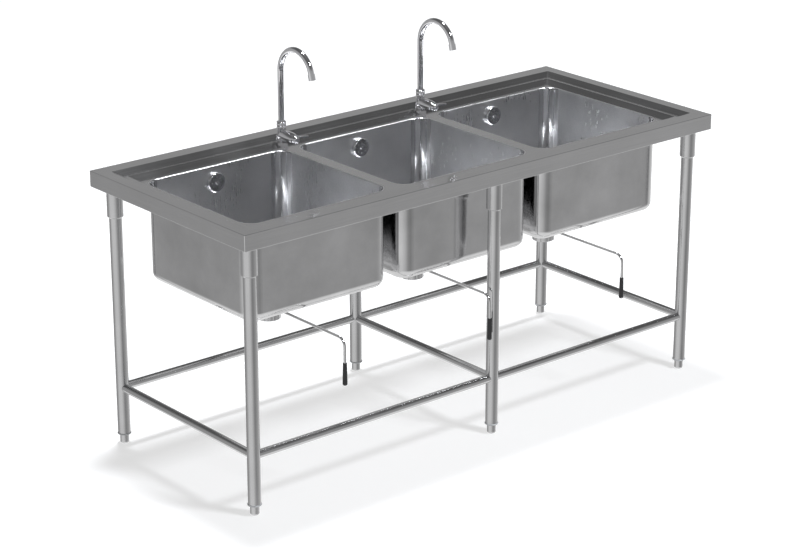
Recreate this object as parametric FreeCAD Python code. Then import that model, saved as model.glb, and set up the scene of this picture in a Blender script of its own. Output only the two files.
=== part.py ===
import FreeCAD, Part

import math
import os

# Three compartment sink on a six-legged tubular stand, with two gooseneck taps, three overflows and
# three lever wastes. Millimetres. +X is to the right, +Y to the back wall, +Z up. The origin is on
# the floor, below the centre of the worktop.

Vec = FreeCAD.Vector
X_AXIS = Vec(1, 0, 0)
Y_AXIS = Vec(0, 1, 0)
Z_AXIS = Vec(0, 0, 1)

# ---- worktop -------------------------------------------------------------------------------------
overall_length = 1800.0
overall_depth = 750.0
overall_height = 850.0
top_sheet = 1.5
rim_end_width = 40.0
rim_side_width = 50.0
step_run = 23.0
step_drop = 12.5
ledge_width = 11.0
step_corner_radius = 7.0
apron_height = 48.0
hem_width = 12.0
edge_radius = 3.0
top_edge_radius = 1.2
hem_edge_radius = 1.4

# ---- bowls ---------------------------------------------------------------------------------------
bowl_count = 3
bowl_sheet = 1.2
bowl_gap = 47.0
deck_strip_end = 6.0
deck_strip_side = 18.0
bowl_depth = 295.0
bowl_corner_radius = 45.0
bowl_bottom_radius = 28.0
bowl_flange_width = 4.0
bowl_flare_radius = 3.0
bowl_floor_fall = 4.0

# ---- stand ---------------------------------------------------------------------------------------
leg_diameter = 38.0
leg_wall = 1.2
leg_inset = 50.0
middle_leg_offset = 40.0
foot_height = 30.0
insert_flange_thickness = 4.5
insert_flange_overhang = 1.75
insert_length = 60.0
foot_diameter = 27.0
foot_stem_diameter = 12.0
foot_stem_length = 45.0
foot_edge_radius = 6.0
foot_gap = 0.3
running_clearance = 0.05
socket_wall = 4.8
socket_clearance = 0.2
socket_drop = 91.0
socket_chamfer = 4.0
leg_insertion = 100.0
channel_height = 30.0
channel_sheet = 2.0
channel_notch_gap = 3.0
grub_screw_diameter = 8.0
grub_screw_drop = 30.0
rail_diameter = 25.0
rail_wall = 1.2
rail_height = 180.0

# ---- taps ----------------------------------------------------------------------------------------
tap_from_back_edge = 90.0
tap_flange_width = 5.3
tap_flange_thickness = 14.0
tap_seat_clearance = 0.4
tap_inlet_radius = 10.5
tap_inlet_length = 30.0
tap_shank_step = 1.5
tap_shank_length = 25.0
tap_hole_clearance = 0.5
tap_bore_radius = 6.0
tap_socket_end_gap = 1.0
tap_column_taper = 0.8
tap_column_shoulder = 2.4
tap_column_height = 55.0
tap_spigot_wall = 3.0
tap_spigot_height = 13.0
valve_height = 32.0
valve_belly = 4.6
valve_belly_reach = 38.0
valve_fullness = 1.4
valve_reach = 65.0
valve_nose_radius = 14.2
spindle_radius = 4.0
spindle_length = 22.0
hub_radius = 14.0
hub_thickness = 12.0
hub_edge_radius = 10.0
hub_gap = 0.3
handle_length = 48.0
handle_rise = 9.0
handle_tip_rise = 3.0
handle_thickness = 5.0
handle_root_depth = 2.0
spout_diameter = 18.5
spout_wall = 1.5
spout_stem_step = 1.25
spout_stem_wall = 2.25
spout_stem_length = 20.0
spout_bend_start = 233.0
spout_bend_radius = 76.0
spout_bend_angle = 165.0
spout_tip_length = 8.0
spout_nut_wall = 3.8
spout_nut_height = 21.0
spout_nut_bead = 1.0
aerator_wall = 1.75
aerator_length = 19.0
aerator_overlap = 7.0
aerator_hole_share = 0.2
aerator_circle_share = 0.62
tap_washer_thickness = 3.0
tap_washer_width = 5.5
tap_nut_wall = 4.0
tap_nut_thickness = 8.0

# ---- lever wastes --------------------------------------------------------------------------------
waste_flange_width = 11.0
waste_seat_clearance = 3.0
waste_flange_thickness = 3.0
waste_body_wall = 4.0
waste_bore_radius = 30.0
waste_hole_clearance = 1.0
waste_body_length = 84.0
waste_neck_length = 9.0
waste_cone_length = 6.0
outlet_radius = 27.2
outlet_wall = 2.8
outlet_washer_thickness = 3.0
coupling_wall = 5.5
coupling_height = 15.0
coupling_lip = 3.0
coupling_flutes = 10
coupling_flute_radius = 4.0
coupling_flute_depth = 1.5
waste_gasket_thickness = 3.0
waste_gasket_width = 10.0
locknut_wall = 11.0
locknut_thickness = 14.0
guide_drop = 30.0
guide_height = 10.0
guide_bar_width = 4.0
guide_hub_radius = 7.0
stopper_seat_drop = 1.0
stopper_cone_drop = 2.0
stopper_seat_clearance = 0.6
stopper_dome_height = 4.0
stopper_slope_width = 6.3
stopper_knob_radius = 7.0
stopper_knob_waist_radius = 4.9
stopper_stem_radius = 3.0
crank_throw = 8.0
crank_pin_radius = 3.0
crank_clearance = 2.2
crank_web_radius = 6.0
crank_end_radius = 5.0
crank_web_thickness = 4.0
crank_half_gap = 6.0
lever_drop = 70.5
lever_diameter = 8.0
lever_reach = 355.0
lever_bend_radius = 25.0
lever_fall = 129.5
grip_length = 68.0
grip_top_radius = 6.0
grip_bottom_radius = 7.3
grip_end_radius = 5.0
boss_radius = 12.0
boss_length = 15.0
gland_across_flats = 22.0
gland_thickness = 10.0

# ---- overflows -----------------------------------------------------------------------------------
overflow_drop = 51.0
overflow_hole_radius = 17.0
bezel_wall = 4.5
bezel_bore_radius = 26.5
bezel_depth = 11.0
bezel_edge_radius = 4.2
plate_thickness = 1.5
plate_setback = 1.0
plate_clearance = 0.1
plate_hole_count = 8
plate_hole_radius = 2.5
plate_hole_circle = 17.0
screw_head_radius = 5.5
screw_head_height = 2.5
screw_shank_radius = 2.4
screw_slot_size = 1.0
elbow_gasket_thickness = 2.0
elbow_flange_width = 8.0
elbow_flange_thickness = 4.0
elbow_wall = 4.0
elbow_bore_radius = 18.0
elbow_end_gap = 2.0
elbow_outlet_wall = 3.5
elbow_outlet_drop = 36.0
elbow_bridge_width = 8.0
overflow_pipe_radius = 12.5
overflow_pipe_wall = 1.5
overflow_pipe_bend = 45.0
overflow_pipe_gap = 11.0
overflow_pipe_end_gap = 1.0
port_drop = 52.0
port_wall = 3.5
port_length = 17.0
port_shoulder = 3.0
port_hole_radius = 10.0

# ---- levels and places that follow from the sizes above ------------------------------------------
over = 5.0
same_place = 1e-4
softening = 1.0
waste_body_radius = waste_bore_radius + waste_body_wall
waste_neck_radius = outlet_radius + outlet_wall
waste_flange_radius = waste_body_radius + waste_flange_width
waste_seat_radius = waste_flange_radius + waste_seat_clearance
waste_gasket_radius = waste_body_radius + waste_gasket_width
coupling_radius = waste_neck_radius + coupling_wall
half_length = overall_length / 2
half_depth = overall_depth / 2
apron_bottom = overall_height - apron_height
ledge_z = overall_height - step_drop
deck_z = ledge_z - step_drop
step_width = 2 * step_run + ledge_width
deck_half_length = half_length - rim_end_width - step_width
deck_half_depth = half_depth - rim_side_width - step_width
bowl_half_depth = deck_half_depth - deck_strip_side
bowl_width = (2 * (deck_half_length - deck_strip_end) - (bowl_count - 1) * bowl_gap) / bowl_count
bowl_half_width = bowl_width / 2
bowl_pitch = bowl_width + bowl_gap
floor_z = deck_z - bowl_depth
bowl_back = bowl_half_depth + bowl_sheet
leg_radius = leg_diameter / 2
leg_x = half_length - leg_inset
leg_y = half_depth - leg_inset
leg_bottom = foot_height + insert_flange_thickness
socket_radius = leg_radius + socket_clearance + socket_wall
socket_bottom = apron_bottom - socket_drop
leg_top = socket_bottom + leg_insertion
channel_top = ledge_z - top_sheet
socket_top = channel_top - channel_sheet
tap_shank_radius = tap_inlet_radius + tap_shank_step
tap_inlet_drop = tap_shank_length + tap_inlet_length
spout_radius = spout_diameter / 2
spout_stem_radius = spout_radius - spout_stem_step
tap_spigot_radius = spout_stem_radius + tap_spigot_wall
spout_nut_radius = tap_spigot_radius + spout_nut_wall
tap_column_top_radius = tap_spigot_radius + tap_column_shoulder
tap_column_radius = tap_column_top_radius + tap_column_taper
tap_flange_radius = tap_column_radius + tap_flange_width
valve_radius = tap_column_radius + valve_belly
aerator_radius = spout_radius + aerator_wall
tap_x = bowl_pitch / 2
tap_y = half_depth - tap_from_back_edge
tap_seat_radius = tap_flange_radius + tap_seat_clearance
valve_z = deck_z + valve_height
spout_z = deck_z + tap_column_height + tap_spigot_height - spout_stem_length
seat_z = floor_z - bowl_floor_fall
waste_mid_wall = waste_bore_radius + waste_body_wall / 2
body_bottom = seat_z - waste_body_length
neck_bottom = body_bottom - waste_cone_length - waste_neck_length
gasket_top = seat_z - waste_flange_thickness - bowl_sheet
lever_z = floor_z - lever_drop
outlet_z = neck_bottom - outlet_washer_thickness - coupling_lip
port_z = floor_z - port_drop
overflow_z = deck_z - overflow_drop
overflow_pipe_y = bowl_back + overflow_pipe_gap + overflow_pipe_radius
bezel_radius = bezel_bore_radius + bezel_wall
elbow_radius = elbow_bore_radius + elbow_wall
elbow_flange_radius = elbow_radius + elbow_flange_width
elbow_outlet_radius = overflow_pipe_radius + elbow_outlet_wall
port_radius = overflow_pipe_radius + port_wall

sides = {"left": -1, "right": 1}
bowl_places = {"left": -bowl_pitch, "middle": 0.0, "right": bowl_pitch}
leg_places = {
    "front_left": (-leg_x, -leg_y),
    "front_middle": (middle_leg_offset, -leg_y),
    "front_right": (leg_x, -leg_y),
    "back_left": (-leg_x, leg_y),
    "back_middle": (middle_leg_offset, leg_y),
    "back_right": (leg_x, leg_y),
}
rail_ends = {
    "rail_left": ("front_left", "back_left"),
    "rail_middle": ("front_middle", "back_middle"),
    "rail_right": ("front_right", "back_right"),
    "rail_front_left": ("front_left", "front_middle"),
    "rail_front_right": ("front_middle", "front_right"),
    "rail_back_left": ("back_left", "back_middle"),
    "rail_back_right": ("back_middle", "back_right"),
}


# ---- shape helpers -------------------------------------------------------------------------------
def block(x_low, x_high, y_low, y_high, z_low, z_high):
    corner = Vec(x_low, y_low, z_low)
    return Part.makeBox(x_high - x_low, y_high - y_low, z_high - z_low, corner)


def rod(radius, start, end):
    direction = end - start
    return Part.makeCylinder(radius, direction.Length, start, direction)


def ring(outer_radius, inner_radius, start, end):
    reach = (end - start).normalize() * over
    return rod(outer_radius, start, end).cut(rod(inner_radius, start - reach, end + reach))


def hex_prism(across_flats, start, end, across_axis):
    """A hexagonal bar from start to end; across_axis points at one of its corners."""
    axis = (end - start).normalize()
    corner_radius = across_flats / math.sqrt(3)
    corners = []
    for index in range(6):
        direction = FreeCAD.Rotation(axis, 60.0 * index).multVec(across_axis)
        corners.append(start + direction * corner_radius)
    outline = Part.makePolygon(corners + corners[:1])
    return Part.Face(outline).extrude(end - start)


def turned(profile, axis=Z_AXIS, origin=Vec(0, 0, 0)):
    """A solid of revolution. The profile lists (radius, height along the axis) round a closed outline."""
    points = [Vec(radius, 0, height) for radius, height in profile]
    outline = Part.makePolygon(points + points[:1])
    solid = Part.Face(outline).revolve(Vec(0, 0, 0), Z_AXIS, 360)
    solid.Placement = FreeCAD.Placement(origin, FreeCAD.Rotation(Z_AXIS, axis))
    return solid


def turned_curve(points, axis, origin):
    """A solid of revolution whose side is one smooth curve through the points (radius, height)."""
    places = [Vec(radius, 0, height) for radius, height in points]
    side = Part.BSplineCurve()
    side.interpolate(places)
    low, high = Vec(0, 0, places[0].z), Vec(0, 0, places[-1].z)
    edges = [Part.LineSegment(low, places[0]).toShape(), side.toShape()]
    if places[-1].x > 0:
        edges.append(Part.LineSegment(places[-1], high).toShape())
    edges.append(Part.LineSegment(high, low).toShape())
    solid = Part.Face(Part.Wire(edges)).revolve(Vec(0, 0, 0), Z_AXIS, 360)
    solid.Placement = FreeCAD.Placement(origin, FreeCAD.Rotation(Z_AXIS, axis))
    return solid


def rounded_rectangle(half_x, half_y, radius, z):
    """A closed wire: a rectangle with rounded corners, level, at height z."""
    quadrants = ((1, 1, 0), (-1, 1, 90), (-1, -1, 180), (1, -1, 270))
    arcs = []
    for sign_x, sign_y, start in quadrants:
        centre = Vec(sign_x * (half_x - radius), sign_y * (half_y - radius), z)
        arcs.append(Part.ArcOfCircle(Part.Circle(centre, Z_AXIS, radius),
                                     math.radians(start), math.radians(start + 90)))
    edges = []
    for index, arc in enumerate(arcs):
        following = arcs[(index + 1) % len(arcs)]
        edges.append(arc.toShape())
        edges.append(Part.LineSegment(arc.EndPoint, following.StartPoint).toShape())
    return Part.Wire(edges)


def rounded_prism(half_x, half_y, radius, z_low, z_high):
    face = Part.Face(rounded_rectangle(half_x, half_y, radius, z_low))
    return face.extrude(Vec(0, 0, z_high - z_low))


def tapered_prism(low, high, radius):
    """A prism between two rounded rectangles, each given as (half_x, half_y, z)."""
    wires = [rounded_rectangle(half_x, half_y, radius, z) for half_x, half_y, z in (low, high)]
    return Part.makeLoft(wires, True, True)


def bent_bar(points, radii, section_radius):
    """A round bar along straight runs joined by tangent arcs; radii holds one per inner point."""
    edges = []
    start = points[0]
    for index, radius in enumerate(radii, start=1):
        corner = points[index]
        back = (points[index - 1] - corner).normalize()
        ahead = (points[index + 1] - corner).normalize()
        half_turn = back.getAngle(ahead) / 2
        tangent = radius / math.tan(half_turn)
        bisector = (back + ahead).normalize()
        first = corner + back * tangent
        last = corner + ahead * tangent
        middle = corner + bisector * (radius / math.sin(half_turn) - radius)
        edges.append(Part.LineSegment(start, first).toShape())
        edges.append(Part.Arc(first, middle, last).toShape())
        start = last
    edges.append(Part.LineSegment(start, points[-1]).toShape())
    return swept(Part.Wire(edges), points[0], points[1] - points[0], section_radius)


def swept(path, start, direction, section_radius):
    section = Part.Wire(Part.Circle(start, direction, section_radius).toShape())
    return path.makePipeShell([section], True, True)


def round_edges(solid, radius, chosen):
    """Fillets the edges of the solid for which chosen(edge) is true."""
    return solid.makeFillet(radius, [edge for edge in solid.Edges if chosen(edge)])


def at_height(z):
    """True for an edge that lies level at height z."""
    return lambda edge: abs(edge.BoundBox.ZMin - z) < same_place and abs(edge.BoundBox.ZMax - z) < same_place


def at_depth(y):
    """True for an edge that lies wholly in the upright plane at y."""
    return lambda edge: abs(edge.BoundBox.YMin - y) < same_place and abs(edge.BoundBox.YMax - y) < same_place


def is_vertical(edge):
    box = edge.BoundBox
    return box.XLength < same_place and box.YLength < same_place and box.ZLength > same_place


# ---- worktop -------------------------------------------------------------------------------------
def recess(shift):
    """The space of the two sloped steps above the deck, lowered by shift."""
    rim = (half_length - rim_end_width, half_depth - rim_side_width)
    ledge_outer = (rim[0] - step_run, rim[1] - step_run)
    ledge_inner = (ledge_outer[0] - ledge_width, ledge_outer[1] - ledge_width)
    deck = (ledge_inner[0] - step_run, ledge_inner[1] - step_run)
    upper = tapered_prism((*ledge_outer, ledge_z - shift), (*rim, overall_height - shift),
                          step_corner_radius)
    lower = tapered_prism((*deck, deck_z - shift), (*ledge_inner, ledge_z - shift),
                          step_corner_radius)
    return upper.fuse(lower)


def apron_tray():
    """The flat rim, the apron around it and the hem turned in at the apron's lower edge."""
    outside = block(-half_length, half_length, -half_depth, half_depth, apron_bottom, overall_height)
    outside = round_edges(outside, edge_radius, is_vertical)
    outside = round_edges(outside, top_edge_radius, at_height(overall_height))
    outside = round_edges(outside, hem_edge_radius, at_height(apron_bottom))
    inner_x = half_length - top_sheet
    inner_y = half_depth - top_sheet
    inside = block(-inner_x, inner_x, -inner_y, inner_y, apron_bottom + top_sheet,
                   overall_height - top_sheet)
    mouth_x = half_length - hem_width
    mouth_y = half_depth - hem_width
    mouth = block(-mouth_x, mouth_x, -mouth_y, mouth_y, apron_bottom - over,
                  apron_bottom + top_sheet)
    return outside.cut(inside).cut(mouth)


def make_worktop():
    top = apron_tray().fuse(recess(top_sheet))
    for side in sides.values():
        seat = Vec(side * tap_x, tap_y, deck_z - top_sheet)
        top = top.fuse(rod(tap_seat_radius + top_sheet, seat, seat + Z_AXIS * (top_sheet + step_drop)))
    rim_opening = rounded_prism(half_length - rim_end_width, half_depth - rim_side_width,
                                step_corner_radius, overall_height, overall_height + over)
    top = top.cut(recess(0)).cut(rim_opening)
    for side in sides.values():
        seat = Vec(side * tap_x, tap_y, deck_z)
        top = top.cut(rod(tap_seat_radius, seat, seat + Z_AXIS * (2 * step_drop)))
        hole_radius = tap_shank_radius + tap_hole_clearance
        top = top.cut(rod(hole_radius, seat - Z_AXIS * over, seat + Z_AXIS * over))
    for place in bowl_places.values():
        cut_out = rounded_prism(bowl_half_width + bowl_flange_width, bowl_half_depth + bowl_flange_width,
                                bowl_corner_radius + bowl_flange_width, deck_z - over, deck_z + over)
        top = top.cut(cut_out.translated(Vec(place, 0, 0)))
    return top.removeSplitter()


# ---- bowls ---------------------------------------------------------------------------------------
def bowl_form(offset, z_top):
    """The bowl's space grown by offset on all sides, with a rounded bottom edge."""
    z_bottom = floor_z - offset
    form = rounded_prism(bowl_half_width + offset, bowl_half_depth + offset,
                         bowl_corner_radius + offset, z_bottom, z_top)
    return round_edges(form, bowl_bottom_radius + offset, at_height(z_bottom))


def floor_dish(offset):
    """The round fall in the bowl's floor that leads to the waste flange's seat."""
    seat_radius = waste_seat_radius + offset
    slope_end = seat_radius + 2 * bowl_bottom_radius
    seat_top = seat_z - offset
    profile = [(0, seat_top - waste_flange_thickness), (seat_radius, seat_top - waste_flange_thickness),
               (seat_radius, seat_top), (slope_end, floor_z - offset), (slope_end, floor_z + over),
               (0, floor_z + over)]
    return turned(profile)


def make_bowl(place):
    outside = bowl_form(bowl_sheet, deck_z)
    flange = rounded_prism(bowl_half_width + bowl_flange_width, bowl_half_depth + bowl_flange_width,
                           bowl_corner_radius + bowl_flange_width, deck_z - top_sheet, deck_z)
    dish = floor_dish(bowl_sheet).common(block(-bowl_half_width, bowl_half_width, -bowl_half_depth,
                                               bowl_half_depth, gasket_top - over, floor_z))
    bowl = outside.fuse(flange).fuse(dish).removeSplitter()
    bowl = bowl.cut(bowl_form(0, deck_z))
    reach_x = bowl_half_width + same_place
    reach_y = bowl_half_depth + same_place
    mouth = FreeCAD.BoundBox(-reach_x, -reach_y, floor_z, reach_x, reach_y, overall_height)
    inner_rim = [edge for edge in bowl.Edges if at_height(deck_z)(edge) and mouth.isInside(edge.BoundBox)]
    bowl = bowl.makeFillet(bowl_flare_radius, inner_rim).cut(floor_dish(0))
    seat = Vec(0, 0, seat_z - waste_flange_thickness)
    hole_radius = waste_body_radius + waste_hole_clearance
    bowl = bowl.cut(rod(hole_radius, seat - Z_AXIS * over, seat + Z_AXIS * over))
    overflow = Vec(0, bowl_half_depth, overflow_z)
    bowl = bowl.cut(rod(overflow_hole_radius, overflow - Y_AXIS * over, overflow + Y_AXIS * over))
    return bowl.translated(Vec(place, 0, 0))


# ---- stand ---------------------------------------------------------------------------------------
def make_channel(side):
    """The downward-open channel under the rim that carries the leg sockets, notched for the taps."""
    centre_y = side * leg_y
    half_inner = socket_radius
    half_outer = half_inner + channel_sheet
    half_run = half_length - top_sheet
    bottom = channel_top - channel_height
    outside = block(-half_run, half_run, centre_y - half_outer, centre_y + half_outer, bottom, channel_top)
    inside = block(-half_run, half_run, centre_y - half_inner, centre_y + half_inner, bottom, socket_top)
    channel = outside.cut(inside)
    for tap_side in sides.values():
        notch_bottom = Vec(tap_side * tap_x, tap_y, bottom - over)
        notch_top = Vec(tap_side * tap_x, tap_y, channel_top + over)
        channel = channel.cut(rod(tap_seat_radius + channel_notch_gap, notch_bottom, notch_top))
    return channel


def make_leg_socket(place):
    x, y = place
    bore = leg_radius + socket_clearance
    outer = socket_radius
    profile = [(bore, socket_bottom), (outer - socket_chamfer, socket_bottom),
               (outer, socket_bottom + socket_chamfer), (outer, socket_top), (bore, socket_top)]
    socket = turned(profile, origin=Vec(x, y, 0))
    return socket.cut(grub_screw_blank(place))


def grub_screw_blank(place):
    x, y = place
    z = socket_bottom + grub_screw_drop
    start = Vec(x, y + leg_radius, z)
    end = Vec(x, y + socket_radius, z)
    return rod(grub_screw_diameter / 2, start, end)


def make_grub_screw(place):
    x, y = place
    leg_surface = rod(leg_radius, Vec(x, y, socket_bottom), Vec(x, y, socket_top))
    mouth = Vec(x, y + socket_radius, socket_bottom + grub_screw_drop)
    key_size = grub_screw_diameter / 2
    key = hex_prism(key_size, mouth - Y_AXIS * key_size, mouth + Y_AXIS, Z_AXIS)
    return grub_screw_blank(place).cut(leg_surface).cut(key)


def make_leg(place):
    x, y = place
    return ring(leg_radius, leg_radius - leg_wall, Vec(x, y, leg_bottom), Vec(x, y, leg_top))


def make_foot_insert(place):
    """The threaded plug pressed into the leg's lower end; its flange covers the tube's edge."""
    bore = foot_stem_diameter / 2 + running_clearance
    plug = leg_radius - leg_wall
    flange = leg_radius + insert_flange_overhang
    softened = insert_flange_thickness / 4
    profile = [(bore, foot_height), (flange - softened, foot_height), (flange, foot_height + softened),
               (flange, leg_bottom - softened), (flange - softened, leg_bottom), (plug, leg_bottom),
               (plug, leg_bottom + insert_length), (bore, leg_bottom + insert_length)]
    return turned(profile, origin=Vec(*place, 0))


def make_foot(place):
    """The adjustable foot: a round pad below its threaded stem, screwed right in."""
    pad_top = foot_height - foot_gap
    pad = rod(foot_diameter / 2, Vec(*place, 0), Vec(*place, pad_top))
    pad = round_edges(pad, foot_edge_radius, at_height(0))
    stem = rod(foot_stem_diameter / 2, Vec(*place, foot_height / 2), Vec(*place, pad_top + foot_stem_length))
    return pad.fuse(stem).removeSplitter()


def make_rail(start_name, end_name):
    """A tie rail whose ends are cut to fit round the two legs that it joins."""
    start = Vec(*leg_places[start_name], rail_height)
    end = Vec(*leg_places[end_name], rail_height)
    rail = ring(rail_diameter / 2, rail_diameter / 2 - rail_wall, start, end)
    for centre in (start, end):
        rail = rail.cut(rod(leg_radius, centre - Z_AXIS * rail_diameter, centre + Z_AXIS * rail_diameter))
    return rail


# ---- taps ----------------------------------------------------------------------------------------
def make_tap_body(place):
    """Inlet, shank, deck flange, column with the spout's socket, and the valve barrel in front."""
    softened = (tap_flange_radius - tap_column_radius) / 2
    top = tap_column_height
    profile = [(0, -tap_inlet_drop), (tap_inlet_radius, -tap_inlet_drop),
               (tap_inlet_radius, -tap_shank_length), (tap_shank_radius, -tap_shank_length),
               (tap_shank_radius, 0), (tap_flange_radius, 0),
               (tap_flange_radius, tap_flange_thickness - softened),
               (tap_flange_radius - softened, tap_flange_thickness),
               (tap_column_radius, tap_flange_thickness + softened), (tap_column_top_radius, top),
               (tap_spigot_radius, top), (tap_spigot_radius, top + tap_spigot_height),
               (0, top + tap_spigot_height)]
    body = turned(profile, origin=Vec(place, tap_y, deck_z))
    body = body.fuse(valve_barrel(place)).removeSplitter()
    axis_bottom = Vec(place, tap_y, deck_z - tap_inlet_drop - over)
    axis_top = Vec(place, tap_y, deck_z + top + tap_spigot_height + over)
    body = body.cut(rod(tap_bore_radius, axis_bottom, axis_top))
    stem_bore = spout_stem_radius + running_clearance
    body = body.cut(rod(stem_bore, Vec(place, tap_y, spout_z - tap_socket_end_gap), axis_top))
    nose = Vec(place, tap_y - valve_reach, valve_z)
    spindle_bore = spindle_radius + running_clearance
    bore_depth = spindle_length + tap_socket_end_gap
    return body.cut(rod(spindle_bore, nose - Y_AXIS * over, nose + Y_AXIS * bore_depth))


def valve_barrel(place):
    """A barrel that bellies out towards the user and narrows to its nose."""
    shoulder_radius = (valve_radius + valve_nose_radius) / 2 + valve_fullness
    curve = [(tap_column_radius, 0), (valve_radius - valve_fullness, valve_belly_reach / 2),
             (valve_radius, valve_belly_reach),
             (shoulder_radius, (valve_belly_reach + valve_reach) / 2),
             (valve_nose_radius, valve_reach)]
    return turned_curve(curve, Vec(0, -1, 0), Vec(place, tap_y, valve_z))


def make_tap_handle(place):
    """The valve's hub with its spindle and the flat tapering blade that points right."""
    nose = Vec(place, tap_y - valve_reach - hub_gap, valve_z)
    outward = Vec(0, -1, 0)
    front = nose + outward * hub_thickness
    hub = round_edges(rod(hub_radius, nose, front), hub_edge_radius, at_depth(front.y))
    spindle = rod(spindle_radius, nose - outward * spindle_length, nose + outward * hub_edge_radius)
    half = handle_thickness / 2
    middle_y = nose.y - hub_thickness / 2
    outline = [(0, handle_rise + half), (handle_length - half, handle_tip_rise + half),
               (handle_length, handle_tip_rise), (handle_length - half, handle_tip_rise - half),
               (0, handle_rise - half - handle_root_depth)]
    points = [Vec(place + x, middle_y - half, valve_z + z) for x, z in outline]
    blade = Part.Face(Part.makePolygon(points + points[:1])).extrude(Y_AXIS * handle_thickness)
    return hub.fuse(spindle).fuse(blade).removeSplitter()


def make_spout(place):
    """The gooseneck: a stem that turns in the body, a riser, and a bend towards the front."""
    foot = Vec(place, tap_y, spout_z)
    riser_bottom = Vec(place, tap_y, deck_z + tap_column_height + tap_spigot_height + foot_gap)
    bend_start = Vec(place, tap_y, deck_z + spout_bend_start)
    centre = bend_start - Y_AXIS * spout_bend_radius
    middle, end = [centre + spoke(angle) for angle in (spout_bend_angle / 2, spout_bend_angle)]
    tip = end + spout_direction() * spout_tip_length
    path = Part.Wire([Part.LineSegment(riser_bottom, bend_start).toShape(),
                      Part.Arc(bend_start, middle, end).toShape(),
                      Part.LineSegment(end, tip).toShape()])
    outer = swept(path, riser_bottom, Z_AXIS, spout_radius)
    inner = swept(path, riser_bottom, Z_AXIS, spout_radius - spout_wall)
    stem_bore = spout_stem_radius - spout_stem_wall
    stem = ring(spout_stem_radius, stem_bore, foot, riser_bottom)
    joint = ring(spout_radius, stem_bore, riser_bottom, riser_bottom + Z_AXIS * spout_wall)
    return outer.cut(inner).fuse(stem).fuse(joint).removeSplitter()


def spoke(angle):
    """From the bend's centre to its centre line, angle degrees along the bend."""
    turn = math.radians(angle)
    return Vec(0, math.cos(turn), math.sin(turn)) * spout_bend_radius


def spout_direction():
    """The way the water leaves: along the end of the bend."""
    turn = math.radians(spout_bend_angle)
    return Vec(0, -math.sin(turn), math.cos(turn))


def make_aerator(place):
    """The outlet collar that fits over the spout's straight tip."""
    centre = Vec(place, tap_y - spout_bend_radius, deck_z + spout_bend_start)
    outward = spout_direction()
    end = centre + spoke(spout_bend_angle) + outward * spout_tip_length
    start = end - outward * aerator_overlap
    tip = end + outward * (aerator_length - aerator_overlap)
    collar = rod(aerator_radius, start, tip)
    collar = collar.cut(rod(spout_radius, start - outward, end))
    waterway = spout_radius - spout_wall
    collar = collar.cut(rod(waterway, end - outward, tip + outward))
    mesh_start = tip - outward * aerator_overlap
    return collar.fuse(perforated_disc(waterway, mesh_start, mesh_start + outward * spout_wall))


def perforated_disc(radius, start, end):
    """The aerator's strainer: a disc with one ring of holes."""
    disc = rod(radius, start, end)
    axis = (end - start).normalize()
    hole_radius = radius * aerator_hole_share
    for index in range(plate_hole_count):
        turn = FreeCAD.Rotation(axis, 360.0 * index / plate_hole_count)
        offset = turn.multVec(X_AXIS * radius * aerator_circle_share)
        disc = disc.cut(rod(hole_radius, start + offset - axis, end + offset + axis))
    return disc


def make_spout_nut(place):
    """The rounded ring nut that holds the spout down on the body."""
    bottom = deck_z + tap_column_height
    cap = tap_spigot_height + foot_gap + spout_wall
    bead = spout_nut_height / 4
    waist = spout_nut_radius - spout_nut_bead
    ends = spout_nut_radius - 2 * spout_nut_bead
    curve = [(ends, 0), (spout_nut_radius, bead / 2), (waist, bead), (spout_nut_radius, 2 * bead),
             (waist, 3 * bead), (spout_nut_radius, 3.5 * bead), (ends, spout_nut_height)]
    origin = Vec(place, tap_y, bottom)
    nut = turned_curve(curve, Z_AXIS, origin)
    nut = nut.cut(rod(tap_spigot_radius, origin - Z_AXIS, origin + Z_AXIS * cap))
    neck = spout_radius + running_clearance
    return nut.cut(rod(neck, origin, origin + Z_AXIS * (spout_nut_height + over)))


def make_tap_washer(place):
    top = Vec(place, tap_y, deck_z - top_sheet)
    outer = tap_shank_radius + tap_washer_width
    return ring(outer, tap_shank_radius, top - Z_AXIS * tap_washer_thickness, top)


def make_tap_nut(place):
    top = Vec(place, tap_y, deck_z - top_sheet - tap_washer_thickness)
    bottom = top - Z_AXIS * tap_nut_thickness
    nut = hex_prism(2 * (tap_shank_radius + tap_nut_wall), bottom, top, X_AXIS)
    return nut.cut(rod(tap_shank_radius, bottom - Z_AXIS, top + Z_AXIS))


# ---- lever wastes --------------------------------------------------------------------------------
def make_waste_body(place):
    """Flange and seat in the bowl's floor, the body below, its guide, lever boss and overflow port."""
    seat_edge = seat_z - stopper_seat_drop
    seat_foot = seat_edge - stopper_cone_drop
    seat_outer = waste_bore_radius + stopper_cone_drop
    flange_bottom = seat_z - waste_flange_thickness
    cone_bottom = body_bottom - waste_cone_length
    profile = [(seat_outer, seat_z), (waste_flange_radius - softening, seat_z),
               (waste_flange_radius, seat_z - softening), (waste_flange_radius, flange_bottom),
               (waste_body_radius, flange_bottom), (waste_body_radius, body_bottom),
               (waste_neck_radius, cone_bottom), (waste_neck_radius, neck_bottom),
               (outlet_radius, neck_bottom), (outlet_radius, cone_bottom),
               (waste_bore_radius, body_bottom), (waste_bore_radius, seat_foot),
               (seat_outer, seat_edge)]
    body = turned(profile, origin=Vec(place, 0, 0))
    for addition in (stopper_guide(place), lever_boss(place), overflow_port(place)):
        body = body.fuse(addition)
    return body.cut(lever_bore(place)).cut(port_hole(place)).removeSplitter()


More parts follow.
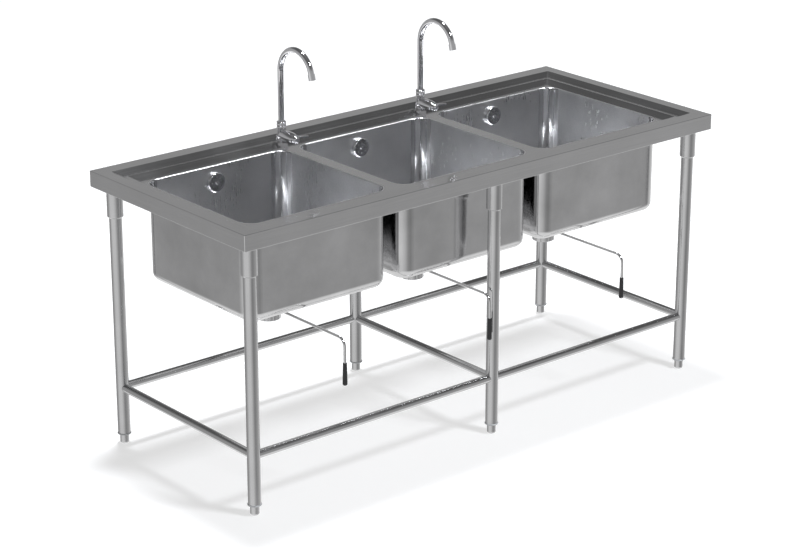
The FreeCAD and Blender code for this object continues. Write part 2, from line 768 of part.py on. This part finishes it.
def stopper_guide(place):
    """Two crossed bars with a hub that the stopper's stem slides in."""
    top = seat_z - guide_drop
    bottom = top - guide_height
    half = guide_bar_width / 2
    along_x = block(place - waste_mid_wall, place + waste_mid_wall, -half, half, bottom, top)
    along_y = block(place - half, place + half, -waste_mid_wall, waste_mid_wall, bottom, top)
    hub = rod(guide_hub_radius, Vec(place, 0, bottom), Vec(place, 0, top))
    bore_radius = stopper_stem_radius + running_clearance
    bore = rod(bore_radius, Vec(place, 0, bottom - over), Vec(place, 0, top + over))
    return along_x.fuse(along_y).fuse(hub).cut(bore)


def lever_boss(place):
    start = Vec(place, -waste_mid_wall, lever_z)
    boss = rod(boss_radius, start, Vec(place, -waste_body_radius - boss_length, lever_z))
    return boss.cut(rod(waste_bore_radius, Vec(place, 0, lever_z - 2 * boss_radius),
                        Vec(place, 0, lever_z + 2 * boss_radius)))


def lever_bore(place):
    radius = lever_diameter / 2 + running_clearance
    return rod(radius, Vec(place, 0, lever_z), Vec(place, -waste_body_radius - boss_length - over, lever_z))


def overflow_port(place):
    start = Vec(place, waste_mid_wall, port_z)
    mouth = Vec(place, waste_body_radius + port_length, port_z)
    port = rod(port_radius, start, mouth)
    return port.cut(rod(waste_bore_radius, Vec(place, 0, port_z - 2 * port_radius),
                        Vec(place, 0, port_z + 2 * port_radius)))


def port_hole(place):
    centre = Vec(place, 0, port_z)
    socket_start = centre + Y_AXIS * (waste_body_radius + port_shoulder)
    mouth = centre + Y_AXIS * (waste_body_radius + port_length + over)
    return rod(port_hole_radius, centre, mouth).fuse(rod(overflow_pipe_radius, socket_start, mouth))


def make_waste_gasket(place):
    top = Vec(place, 0, gasket_top)
    return ring(waste_gasket_radius, waste_body_radius, top - Z_AXIS * waste_gasket_thickness, top)


def make_waste_locknut(place):
    top = Vec(place, 0, gasket_top - waste_gasket_thickness)
    bottom = top - Z_AXIS * locknut_thickness
    nut = hex_prism(2 * (waste_body_radius + locknut_wall), bottom, top, X_AXIS)
    return nut.cut(rod(waste_body_radius, bottom - Z_AXIS, top + Z_AXIS))


def make_coupling_nut(place):
    """The fluted nut on the body's neck, whose lip takes the drain pipe."""
    washer_bottom = outlet_z + coupling_lip
    top = outlet_z + coupling_height
    profile = [(outlet_radius, outlet_z), (coupling_radius - softening, outlet_z),
               (coupling_radius, outlet_z + softening), (coupling_radius, top),
               (waste_neck_radius, top), (waste_neck_radius, washer_bottom),
               (outlet_radius, washer_bottom)]
    nut = turned(profile, origin=Vec(place, 0, 0))
    flute_centre = coupling_radius + coupling_flute_radius - coupling_flute_depth
    for index in range(coupling_flutes):
        turn = FreeCAD.Rotation(Z_AXIS, 360.0 * index / coupling_flutes)
        offset = turn.multVec(X_AXIS * flute_centre)
        low = Vec(place, 0, outlet_z - over) + offset
        nut = nut.cut(rod(coupling_flute_radius, low, low + Z_AXIS * (coupling_height + 2 * over)))
    return nut


def make_outlet_washer(place):
    """The sealing ring between the neck and the coupling nut's lip."""
    top = Vec(place, 0, neck_bottom)
    return ring(waste_neck_radius, outlet_radius, top - Z_AXIS * outlet_washer_thickness, top)


def make_gland_nut(place):
    start = Vec(place, -waste_body_radius - boss_length, lever_z)
    end = start - Y_AXIS * gland_thickness
    bore = lever_diameter / 2 + running_clearance
    return hex_prism(gland_across_flats, start, end, Z_AXIS).cut(rod(bore, start + Y_AXIS, end - Y_AXIS))


def make_stopper(place):
    """The plug: a coned disc with a low dome and a knob, and the stem that the crank lifts."""
    seat_edge = seat_z - stopper_seat_drop
    seat_foot = seat_edge - stopper_cone_drop
    foot_radius = waste_bore_radius - stopper_seat_clearance
    rim_radius = foot_radius + stopper_cone_drop
    dome_top = seat_z + stopper_dome_height / 2
    knob_top = dome_top + stopper_dome_height
    stem_bottom = lever_z + crank_pin_radius + crank_clearance
    profile = [(0, stem_bottom), (stopper_stem_radius, stem_bottom), (stopper_stem_radius, seat_foot),
               (foot_radius, seat_foot), (rim_radius, seat_edge), (rim_radius - softening, seat_z),
               (rim_radius - stopper_slope_width, dome_top - softening), (stopper_knob_radius, dome_top),
               (stopper_knob_waist_radius, dome_top + softening),
               (stopper_knob_radius, knob_top - softening),
               (stopper_knob_radius - softening, knob_top), (0, knob_top)]
    return turned(profile, origin=Vec(place, 0, 0))


def make_lever_rod(place):
    """Crank, spindle and the long bent handle rod in one piece."""
    radius = lever_diameter / 2
    web_start = Vec(place, -crank_half_gap - crank_web_thickness, lever_z)
    bend = Vec(place, -lever_reach, lever_z)
    end = Vec(place, -lever_reach, lever_z - lever_fall)
    handle = bent_bar([web_start, bend, end], [lever_bend_radius], radius)
    web_end = web_start + Y_AXIS * crank_web_thickness
    throw = Vec(-crank_throw, 0, 0)
    web = rod(crank_web_radius, web_start, web_end)
    web = web.fuse(rod(crank_end_radius, web_start + throw, web_end + throw))
    pin = rod(crank_pin_radius, web_start + throw, Vec(place - crank_throw, crank_half_gap, lever_z))
    return handle.fuse(web).fuse(pin).removeSplitter()


def make_lever_grip(place):
    """The tapered push-on grip, rounded at its lower end."""
    end = lever_z - lever_fall
    bottom = end - 2 * grip_end_radius
    top = bottom + grip_length
    y = -lever_reach
    form = turned([(0, bottom), (grip_bottom_radius, bottom), (grip_top_radius, top), (0, top)],
                  origin=Vec(place, y, 0))
    form = round_edges(form, grip_end_radius, at_height(bottom))
    form = round_edges(form, softening, at_height(top))
    return form.cut(rod(lever_diameter / 2, Vec(place, y, end), Vec(place, y, top + over)))


# ---- overflows -----------------------------------------------------------------------------------
def make_overflow_bezel(place):
    front = Vec(place, bowl_half_depth - bezel_depth, overflow_z)
    back = Vec(place, bowl_half_depth, overflow_z)
    bezel = ring(bezel_radius, bezel_bore_radius, front, back)
    front_outer = [edge for edge in bezel.Edges if at_depth(front.y)(edge)
                   and edge.BoundBox.XLength > bezel_radius + bezel_bore_radius]
    return bezel.makeFillet(bezel_edge_radius, front_outer)


def make_overflow_plate(place):
    front = Vec(place, bowl_half_depth - bezel_depth + plate_setback, overflow_z)
    back = front + Y_AXIS * plate_thickness
    plate = rod(bezel_bore_radius - plate_clearance, front, back)
    plate = plate.cut(rod(screw_shank_radius, front - Y_AXIS, back + Y_AXIS))
    for index in range(plate_hole_count):
        turn = FreeCAD.Rotation(Y_AXIS, 360.0 * index / plate_hole_count)
        offset = turn.multVec(X_AXIS * plate_hole_circle)
        plate = plate.cut(rod(plate_hole_radius, front + offset - Y_AXIS, back + offset + Y_AXIS))
    return plate


def make_overflow_screw(place):
    """The screw that draws the plate and bezel to the elbow behind the wall."""
    seat = bowl_half_depth - bezel_depth + plate_setback
    elbow_face = bowl_back + elbow_gasket_thickness
    end = elbow_face + elbow_flange_thickness
    head = [(0, -screw_head_height), (screw_head_radius - softening, -screw_head_height),
            (screw_head_radius, softening - screw_head_height), (screw_head_radius, 0),
            (screw_shank_radius, 0), (screw_shank_radius, end - seat), (0, end - seat)]
    screw = turned(head, axis=Y_AXIS, origin=Vec(place, seat, overflow_z))
    head_face = seat - screw_head_height
    slot = block(place - screw_head_radius, place + screw_head_radius, head_face - over,
                 head_face + screw_slot_size, overflow_z - screw_slot_size / 2,
                 overflow_z + screw_slot_size / 2)
    return screw.cut(slot)


def make_overflow_gasket(place):
    start = Vec(place, bowl_back, overflow_z)
    return ring(elbow_flange_radius, overflow_hole_radius, start, start + Y_AXIS * elbow_gasket_thickness)


def make_overflow_elbow(place):
    """Flange and chamber behind the bowl's wall, a screw bridge across it, and the outlet below."""
    face = Vec(place, bowl_back + elbow_gasket_thickness, overflow_z)
    flange_end = face + Y_AXIS * elbow_flange_thickness
    chamber_end = Vec(place, overflow_pipe_y + overflow_pipe_radius + elbow_end_gap, overflow_z)
    elbow = rod(elbow_flange_radius, face, flange_end).fuse(rod(elbow_radius, face, chamber_end))
    outlet_top = Vec(place, overflow_pipe_y, overflow_z)
    outlet_bottom = outlet_top - Z_AXIS * elbow_outlet_drop
    elbow = elbow.fuse(rod(elbow_outlet_radius, outlet_top, outlet_bottom))
    cavity_end = chamber_end - Y_AXIS * (elbow_radius - elbow_bore_radius)
    elbow = elbow.cut(rod(elbow_bore_radius, face - Y_AXIS, cavity_end))
    elbow = elbow.cut(rod(overflow_pipe_radius, outlet_top, outlet_bottom - Z_AXIS))
    half_bridge = elbow_bore_radius + elbow_wall / 2
    bridge = block(place - half_bridge, place + half_bridge, face.y, flange_end.y,
                   overflow_z - elbow_bridge_width / 2, overflow_z + elbow_bridge_width / 2)
    bridge = bridge.cut(rod(screw_shank_radius, face - Y_AXIS, flange_end + Y_AXIS))
    return elbow.fuse(bridge).removeSplitter()


def make_overflow_pipe(place):
    """The rigid pipe from the elbow down behind the bowl and forward to the waste body's port."""
    top = Vec(place, overflow_pipe_y, overflow_z - elbow_radius - overflow_pipe_end_gap)
    corner = Vec(place, overflow_pipe_y, port_z)
    end = Vec(place, waste_body_radius + port_shoulder, port_z)
    outer = bent_bar([top, corner, end], [overflow_pipe_bend], overflow_pipe_radius)
    inner = bent_bar([top, corner, end], [overflow_pipe_bend], overflow_pipe_radius - overflow_pipe_wall)
    return outer.cut(inner)


# ---- assembly ------------------------------------------------------------------------------------
def group(maker, places):
    """Identical fixed pieces, one separate solid at each place, kept in one node."""
    return Part.makeCompound([maker(place) for place in places])


def build_nodes():
    nodes = {"worktop": make_worktop()}
    nodes["support_channel_front"] = make_channel(-1)
    nodes["support_channel_back"] = make_channel(1)
    for name, place in bowl_places.items():
        nodes["bowl_" + name] = make_bowl(place)
        nodes["waste_stopper_" + name] = make_stopper(place)
        nodes["waste_lever_rod_" + name] = make_lever_rod(place)
        nodes["waste_lever_grip_" + name] = make_lever_grip(place)
    for name, place in leg_places.items():
        nodes["leg_" + name] = make_leg(place)
        nodes["foot_" + name] = make_foot(place)
    for name, (start_name, end_name) in rail_ends.items():
        nodes[name] = make_rail(start_name, end_name)
    for name, side in sides.items():
        place = side * tap_x
        nodes["tap_body_" + name] = make_tap_body(place)
        nodes["tap_handle_" + name] = make_tap_handle(place)
        nodes["spout_" + name] = make_spout(place)
        nodes["aerator_" + name] = make_aerator(place)
    leg_makers = {"leg_sockets": make_leg_socket, "grub_screws": make_grub_screw,
                  "foot_inserts": make_foot_insert}
    for name, maker in leg_makers.items():
        nodes[name] = group(maker, leg_places.values())
    tap_makers = {"spout_nuts": make_spout_nut, "tap_washers": make_tap_washer, "tap_nuts": make_tap_nut}
    for name, maker in tap_makers.items():
        nodes[name] = group(maker, [side * tap_x for side in sides.values()])
    bowl_makers = {
        "waste_bodies": make_waste_body, "waste_gaskets": make_waste_gasket,
        "waste_locknuts": make_waste_locknut, "waste_coupling_nuts": make_coupling_nut,
        "waste_outlet_washers": make_outlet_washer, "waste_gland_nuts": make_gland_nut,
        "overflow_bezels": make_overflow_bezel, "overflow_plates": make_overflow_plate,
        "overflow_screws": make_overflow_screw, "overflow_gaskets": make_overflow_gasket,
        "overflow_elbows": make_overflow_elbow, "overflow_pipes": make_overflow_pipe,
    }
    for name, maker in bowl_makers.items():
        nodes[name] = group(maker, bowl_places.values())
    return nodes


os.makedirs("parts", exist_ok=True)
for node_name, shape in build_nodes().items():
    shape.exportStep(os.path.join("parts", node_name + ".step"))
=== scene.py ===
import math

import bpy
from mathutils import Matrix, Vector


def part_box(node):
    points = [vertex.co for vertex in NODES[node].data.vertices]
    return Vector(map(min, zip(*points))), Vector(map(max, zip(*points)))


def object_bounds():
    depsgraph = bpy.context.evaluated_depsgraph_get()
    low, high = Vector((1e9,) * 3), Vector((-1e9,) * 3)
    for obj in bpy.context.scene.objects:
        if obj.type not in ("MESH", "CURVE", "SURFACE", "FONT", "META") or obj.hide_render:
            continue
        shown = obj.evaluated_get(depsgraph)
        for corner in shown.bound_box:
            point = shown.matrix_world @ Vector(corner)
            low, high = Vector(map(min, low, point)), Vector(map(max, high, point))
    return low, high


# Three compartment sink: looks, floor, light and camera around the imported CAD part. Metres.

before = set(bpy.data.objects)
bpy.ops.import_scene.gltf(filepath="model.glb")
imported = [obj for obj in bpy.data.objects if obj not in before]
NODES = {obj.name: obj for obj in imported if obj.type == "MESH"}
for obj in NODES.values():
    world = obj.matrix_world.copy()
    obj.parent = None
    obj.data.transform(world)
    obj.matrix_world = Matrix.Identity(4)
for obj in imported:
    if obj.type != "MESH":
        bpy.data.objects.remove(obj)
cad_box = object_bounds()

# The part is centred on the origin, so its highest corner gives its half sizes.
HALF_LENGTH, HALF_DEPTH = cad_box[1].x, cad_box[1].y

# Base colours.
STEEL = (0.60, 0.60, 0.605)
CHROME = (0.80, 0.80, 0.82)
BRASS = (0.72, 0.55, 0.28)
INSERT_GREY = (0.42, 0.43, 0.44)
GRIP_BLACK = (0.012, 0.012, 0.013)
PIPE_GREY = (0.62, 0.62, 0.60)
RUBBER = (0.02, 0.02, 0.02)

# Depths of the relief that the bump nodes show, in metres.
FINE_RELIEF = 0.000012
NUT_RELIEF = 0.00002
CHROME_RELIEF = 0.00003
COARSE_RELIEF = 0.00004
SPECKLE_RELIEF = 0.00012

# How finely a brushed grain repeats, in cells per metre: few cells along the lines, many across.
GRAIN_X = (14.0, 260.0, 260.0)
GRAIN_Y = (260.0, 14.0, 260.0)
GRAIN_Z = (260.0, 260.0, 14.0)


# ---- node helpers --------------------------------------------------------------------------------
class Tree:
    """A node tree with short calls for the nodes used here."""

    def __init__(self, tree):
        self.tree = tree

    def add(self, kind, *values, **settings):
        """A node with its first inputs linked to outputs or set to values."""
        node = self.tree.nodes.new(kind)
        for key, value in settings.items():
            setattr(node, key, value)
        for socket, value in zip(node.inputs, values):
            self.fill(socket, value)
        return node

    def fill(self, socket, value):
        """Links value into the socket when it is an output, and stores it there when it isn't."""
        if isinstance(value, bpy.types.NodeSocket):
            self.tree.links.new(value, socket)
        else:
            socket.default_value = value

    def math(self, operation, first, second=0.0):
        return self.add("ShaderNodeMath", first, second, operation=operation).outputs[0]

    def remap(self, value, low, high, to_low, to_high, smooth=False):
        kind = "SMOOTHSTEP" if smooth else "LINEAR"
        node = self.add("ShaderNodeMapRange", value, low, high, to_low, to_high, interpolation_type=kind)
        return node.outputs[0]

    def mix(self, factor, first, second):
        """A colour between first and second, each an output or red, green and blue."""
        node = self.add("ShaderNodeMix", factor, data_type="RGBA")
        for socket, colour in ((node.inputs[6], first), (node.inputs[7], second)):
            self.fill(socket, colour if isinstance(colour, bpy.types.NodeSocket) else (*colour, 1.0))
        return node.outputs[2]

    def parts(self, vector):
        return self.add("ShaderNodeSeparateXYZ", vector).outputs


class Graph(Tree):
    """A material around a Principled shader."""

    def __init__(self, name):
        self.material = bpy.data.materials.new(name)
        self.material.use_nodes = True
        super().__init__(self.material.node_tree)
        self.shader = self.tree.nodes["Principled BSDF"]

    def place(self):
        return self.add("ShaderNodeTexCoord").outputs["Object"]

    def normal(self):
        return self.add("ShaderNodeNewGeometry").outputs["Normal"]

    def noise(self, stretch, detail=3.0, roughness=0.55):
        """Noise whose cells are 1/stretch metres long on each axis."""
        mapping = self.add("ShaderNodeMapping", self.place())
        mapping.inputs["Scale"].default_value = stretch
        node = self.add("ShaderNodeTexNoise", mapping.outputs[0])
        node.inputs["Scale"].default_value = 1.0
        node.inputs["Detail"].default_value = detail
        node.inputs["Roughness"].default_value = roughness
        return node.outputs["Fac"]

    def even_noise(self, cells, detail=3.0, roughness=0.55):
        """Noise with the same cell size on every axis."""
        return self.noise((cells, cells, cells), detail, roughness)

    def bump(self, height, depth):
        node = self.add("ShaderNodeBump")
        node.inputs["Strength"].default_value = 1.0
        node.inputs["Distance"].default_value = depth
        self.fill(node.inputs["Height"], height)
        return node.outputs[0]

    def finish(self, colour, roughness, normal=None, metallic=1.0):
        self.fill(self.shader.inputs["Base Color"], colour)
        self.fill(self.shader.inputs["Roughness"], roughness)
        self.shader.inputs["Metallic"].default_value = metallic
        if normal is not None:
            self.fill(self.shader.inputs["Normal"], normal)
        return self.material


def shade(colour, factor):
    return tuple(min(1.0, channel * factor) for channel in colour)


# ---- materials -----------------------------------------------------------------------------------
def brushed_metal(name, colour, roughness, stretch, relief=FINE_RELIEF):
    """Satin metal with fine brushing lines, cloudy changes of tone and slightly uneven gloss."""
    tone = 0.04
    spread = 0.04
    graph = Graph(name)
    grain = graph.noise(stretch, detail=2.0)
    clouds = graph.even_noise(7.0, detail=4.0)
    blend = graph.remap(clouds, 0.35, 0.65, 0.0, 1.0)
    tint = graph.mix(blend, shade(colour, 1 - tone), shade(colour, 1 + tone))
    uneven = graph.math("ADD", grain, clouds)
    gloss = graph.remap(uneven, 0.7, 1.3, roughness - spread, roughness + spread)
    return graph.finish(tint, gloss, graph.bump(grain, relief))


def worktop_metal():
    """Brushed along each side of the rim, so the lines meet on the corners' diagonals."""
    tone = 0.05
    graph = Graph("worktop_steel")
    along_x = graph.noise((5.0, 900.0, 900.0), detail=2.0)
    along_y = graph.noise((900.0, 5.0, 900.0), detail=2.0)
    place = graph.parts(graph.place())
    end_reach = graph.math("SUBTRACT", HALF_LENGTH, graph.math("ABSOLUTE", place["X"]))
    side_reach = graph.math("SUBTRACT", HALF_DEPTH, graph.math("ABSOLUTE", place["Y"]))
    is_end = graph.math("LESS_THAN", end_reach, side_reach)
    is_side = graph.math("SUBTRACT", 1.0, is_end)
    end_grain = graph.math("MULTIPLY", along_y, is_end)
    side_grain = graph.math("MULTIPLY", along_x, is_side)
    grain = graph.math("ADD", end_grain, side_grain)
    clouds = graph.even_noise(5.0, detail=5.0)
    uneven = graph.math("ADD", grain, clouds)
    streaks = graph.remap(uneven, 0.75, 1.25, 0.0, 1.0)
    tint = graph.mix(streaks, shade(STEEL, 1 - tone), shade(STEEL, 1 + tone))
    gloss = graph.remap(uneven, 0.7, 1.3, 0.10, 0.17)
    return graph.finish(tint, gloss, graph.bump(grain, FINE_RELIEF))


def inner_flats(graph, centre_x):
    """1 on a bowl's inner walls and floor, fading to 0 in its drawn corners, and 0 on the outside."""
    inward_limit = -0.02
    upward_limit = 0.3
    flat_bend, round_bend = 0.02, 0.2
    place = graph.parts(graph.place())
    normal = graph.parts(graph.normal())
    from_centre = graph.math("SUBTRACT", place["X"], centre_x)
    outward_x = graph.math("MULTIPLY", from_centre, normal["X"])
    outward_y = graph.math("MULTIPLY", place["Y"], normal["Y"])
    outward = graph.math("ADD", outward_x, outward_y)
    faces_inward = graph.math("LESS_THAN", outward, inward_limit)
    faces_up = graph.math("GREATER_THAN", normal["Z"], upward_limit)
    inside = graph.math("MAXIMUM", faces_inward, faces_up)
    bend = graph.math("ABSOLUTE", graph.math("MULTIPLY", normal["X"], normal["Y"]))
    flat = graph.remap(bend, flat_bend, round_bend, 1.0, 0.0, smooth=True)
    return graph.math("MULTIPLY", inside, flat)


def bowl_metal(name, centre_x):
    """Grainy satin on the inner walls and floor, smooth in the drawn corners and on the outside."""
    tone = 0.12
    grain_gloss = 0.17
    graph = Graph(name)
    grainy = inner_flats(graph, centre_x)
    fine = graph.even_noise(520.0, detail=3.0, roughness=0.7)
    brushed = graph.noise((260.0, 260.0, 30.0), detail=2.0)
    clouds = graph.even_noise(6.0, detail=5.0)
    speckle = graph.math("MULTIPLY", graph.math("SUBTRACT", fine, 0.5), grainy)
    speckled = graph.math("ADD", clouds, speckle)
    blend = graph.remap(speckled, 0.3, 0.7, 0.0, 1.0)
    tint = graph.mix(blend, shade(STEEL, 1 - tone), shade(STEEL, 1 + tone))
    smooth_gloss = graph.remap(graph.math("ADD", brushed, clouds), 0.7, 1.3, 0.10, 0.14)
    gloss = graph.math("ADD", smooth_gloss, graph.math("MULTIPLY", grainy, grain_gloss))
    height = graph.math("MULTIPLY", fine, grainy)
    return graph.finish(tint, gloss, graph.bump(height, SPECKLE_RELIEF))


def polished_chrome(name, colour):
    """Bright plating with faint smears and water marks."""
    graph = Graph(name)
    smears = graph.noise((45.0, 45.0, 20.0), detail=5.0)
    waves = graph.even_noise(70.0, detail=1.0)
    blend = graph.remap(smears, 0.4, 0.7, 0.0, 1.0)
    tint = graph.mix(blend, colour, shade(colour, 0.93))
    gloss = graph.remap(smears, 0.35, 0.75, 0.03, 0.11)
    return graph.finish(tint, gloss, graph.bump(waves, CHROME_RELIEF))


def moulded(name, colour, roughness):
    """Plastic or rubber with a fine moulded texture and slight fading."""
    spread = 0.06
    graph = Graph(name)
    grain = graph.even_noise(700.0, detail=2.0)
    fade = graph.even_noise(14.0, detail=4.0)
    blend = graph.remap(fade, 0.35, 0.7, 0.0, 1.0)
    tint = graph.mix(blend, colour, shade(colour, 1.25))
    gloss = graph.remap(grain, 0.3, 0.7, roughness - spread, roughness + spread)
    return graph.finish(tint, gloss, graph.bump(grain, COARSE_RELIEF), metallic=0.0)


def assign(material, *beginnings):
    """Gives the material to every CAD node whose name begins with one of the given words."""
    for name, node in NODES.items():
        if name.startswith(beginnings):
            node.data.materials.clear()
            node.data.materials.append(material)


def dress_sheet():
    """The worktop, the bowls and the channels under the worktop."""
    assign(worktop_metal(), "worktop")
    for name in ("left", "middle", "right"):
        low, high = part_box("bowl_" + name)
        assign(bowl_metal("bowl_steel_" + name, (low.x + high.x) / 2), "bowl_" + name)
    channel_grain = (8.0, 300.0, 300.0)
    channel_steel = shade(STEEL, 0.9)
    assign(brushed_metal("channel_steel", channel_steel, 0.3, channel_grain, COARSE_RELIEF), "support_")


def dress_stand():
    """Legs, sockets and rails, brushed along their length, and the inserts in the legs' ends."""
    tube_roughness = 0.13
    assign(brushed_metal("tube_steel", STEEL, tube_roughness, GRAIN_Z), "leg_", "grub_")
    assign(brushed_metal("rail_steel_x", STEEL, tube_roughness, GRAIN_X), "rail_front", "rail_back")
    assign(brushed_metal("rail_steel_y", STEEL, tube_roughness, GRAIN_Y),
           "rail_left", "rail_middle", "rail_right")
    assign(moulded("insert_plastic", INSERT_GREY, 0.42), "foot_inserts")


def dress_fittings():
    """Turned feet and waste fittings, whose lines run round them, and the wastes' rods and pipes."""
    turned_grain = (40.0, 40.0, 900.0)
    rod_grain = (200.0, 200.0, 200.0)
    assign(brushed_metal("turned_steel", shade(STEEL, 1.05), 0.16, turned_grain),
           "foot_front", "foot_back", "waste_bodies", "waste_coupling", "waste_locknuts",
           "waste_gland", "waste_stopper")
    assign(brushed_metal("rod_steel", shade(STEEL, 1.08), 0.11, rod_grain), "waste_lever_rod")
    assign(moulded("grip_black", GRIP_BLACK, 0.42), "waste_lever_grip")
    assign(moulded("pipe_plastic", PIPE_GREY, 0.38), "overflow_elbows", "overflow_pipes")


def dress_taps():
    """Chromed taps and overflow covers, the taps' brass nuts, and every seal."""
    nut_grain = (300.0, 300.0, 300.0)
    assign(polished_chrome("tap_chrome", CHROME), "tap_body", "tap_handle", "spout_", "aerator_",
           "overflow_bezels", "overflow_screws")
    assign(polished_chrome("plate_chrome", shade(CHROME, 0.7)), "overflow_plates")
    assign(brushed_metal("nut_brass", BRASS, 0.25, nut_grain, NUT_RELIEF), "tap_nuts")
    assign(moulded("seal_rubber", RUBBER, 0.7), "waste_gaskets", "overflow_gaskets",
           "waste_outlet_washers", "tap_washers")


dress_sheet()
dress_stand()
dress_fittings()
dress_taps()


# ---- stage ---------------------------------------------------------------------------------------
def make_floor():
    """A wide pale floor. Part of its brightness is its own, which keeps the shadows faint."""
    size = 40.0
    own_light = 0.62
    mesh = bpy.data.meshes.new("floor")
    corners = [(-size, -size, 0), (size, -size, 0), (size, size, 0), (-size, size, 0)]
    mesh.from_pydata(corners, [], [(0, 1, 2, 3)])
    floor = bpy.data.objects.new("floor", mesh)
    bpy.context.scene.collection.objects.link(floor)
    graph = Graph("floor_pale")
    dark, light = (0.40, 0.40, 0.40), (0.42, 0.42, 0.42)
    tint = graph.mix(graph.even_noise(3.0), dark, light)
    graph.shader.inputs["Emission Color"].default_value = (1.0, 1.0, 1.0, 1.0)
    graph.shader.inputs["Emission Strength"].default_value = own_light
    mesh.materials.append(graph.finish(tint, 0.9, metallic=0.0))
    floor.visible_glossy = False


class Sky(Tree):
    """The world's node tree."""

    def __init__(self, name):
        self.world = bpy.data.worlds.new(name)
        self.world.use_nodes = True
        super().__init__(self.world.node_tree)
        self.tree.nodes.clear()

    def ramp(self, value, stops):
        """Grey levels by value, which runs from -1 to 1."""
        node = self.add("ShaderNodeValToRGB", self.remap(value, -1.0, 1.0, 0.0, 1.0))
        while len(node.color_ramp.elements) < len(stops):
            node.color_ramp.elements.new(0.5)
        for element, (place, level) in zip(node.color_ramp.elements, stops):
            element.position = (place + 1) / 2
            element.color = (level, level, level, 1.0)
        return node.outputs[0]


# How light the surroundings are near the horizon: bearing in degrees from the left towards the
# front, then grey level.
HORIZON = ((-180, 0.85), (-130, 0.85), (-95, 0.45), (-70, 0.34), (-50, 0.42), (-30, 0.62),
           (-10, 0.80), (35, 0.80), (60, 0.62), (82, 0.36), (100, 0.30), (118, 0.38), (130, 0.43),
           (150, 0.5), (172, 0.75), (180, 0.85))

# How light they are higher up: height of the direction, from -1 down to 1 up, then grey level.
OVERHEAD = ((-1.0, 0.4), (0.0, 0.42), (0.34, 0.36), (0.5, 0.15), (0.8, 0.10), (1.0, 0.2))

WHITE = (1.0, 1.0, 1.0)
BACKDROP = (0.95, 0.95, 0.95, 1.0)


def make_world():
    """Soft studio surroundings: white below, pale round about and darker overhead."""
    sky = Sky("studio")
    bpy.context.scene.world = sky.world
    direction = sky.parts(sky.add("ShaderNodeTexCoord").outputs["Generated"])
    height = direction["Z"]
    towards_left = sky.math("MULTIPLY", direction["X"], -1.0)
    towards_front = sky.math("MULTIPLY", direction["Y"], -1.0)
    bearing = sky.math("ARCTAN2", towards_front, towards_left)
    turn = sky.math("DIVIDE", bearing, math.pi)
    around = sky.ramp(turn, [(degrees / 180, level) for degrees, level in HORIZON])
    above = sky.ramp(height, OVERHEAD)
    is_above = sky.remap(height, -0.12, 0.15, 0.0, 1.0, smooth=True)
    is_below = sky.remap(height, -0.60, -0.40, 1.0, 0.0, smooth=True)
    surroundings = sky.mix(is_below, sky.mix(is_above, around, above), WHITE)
    studio = sky.add("ShaderNodeBackground", surroundings, 1.0)
    plain = sky.add("ShaderNodeBackground", BACKDROP, 1.0)
    seen = sky.add("ShaderNodeLightPath").outputs["Is Camera Ray"]
    chosen = sky.add("ShaderNodeMixShader", seen, studio.outputs[0], plain.outputs[0])
    sky.add("ShaderNodeOutputWorld", chosen.outputs[0])


LAMP_TINT = (0.94, 0.96, 1.0)


def make_light(name, place, target, width, power):
    """A square soft lamp that faces the target."""
    data = bpy.data.lights.new(name, "AREA")
    data.shape = "SQUARE"
    data.size = width
    data.energy = power
    data.color = LAMP_TINT
    light = bpy.data.objects.new(name, data)
    light.location = place
    aim = Vector(target) - Vector(place)
    light.rotation_euler = aim.to_track_quat("-Z", "Y").to_euler()
    bpy.context.scene.collection.objects.link(light)
    return light


def light_only(light, beginning):
    """Limits a light to the CAD nodes whose names begin with the given word."""
    lit = bpy.data.collections.new(light.name + "_reach")
    for name, node in NODES.items():
        if name.startswith(beginning):
            lit.objects.link(node)
    light.light_linking.receiver_collection = lit


def make_lights():
    """A lamp overhead, one from the front, and a faint one that only the bowls see."""
    worktop = (0.0, 0.0, 0.8)
    bowls = (0.0, 0.0, 0.7)
    make_light("softbox_top", (0.3, 1.1, 8.0), worktop, width=1.3, power=900.0)
    make_light("softbox_front", (1.4, -4.2, 6.1), bowls, width=1.2, power=350.0)
    bowl_lamp = make_light("softbox_bowls", (2.6, -3.1, 6.0), bowls, width=2.6, power=500.0)
    light_only(bowl_lamp, "bowl_")


def make_camera():
    """Stands where the photograph was taken from: left of the front, about 20 degrees above."""
    downward = math.radians(20.04)
    to_the_right = math.radians(39.91)
    data = bpy.data.cameras.new("camera")
    data.lens = 109.8
    data.sensor_width = 36.0
    camera = bpy.data.objects.new("camera", data)
    camera.location = (-4.5062, -5.3257, 2.9598)
    camera.rotation_euler = (math.pi / 2 - downward, 0.0, -to_the_right)
    bpy.context.scene.collection.objects.link(camera)
    bpy.context.scene.camera = camera


make_floor()
make_world()
make_lights()
make_camera()
bpy.context.scene.view_settings.view_transform = "Standard"
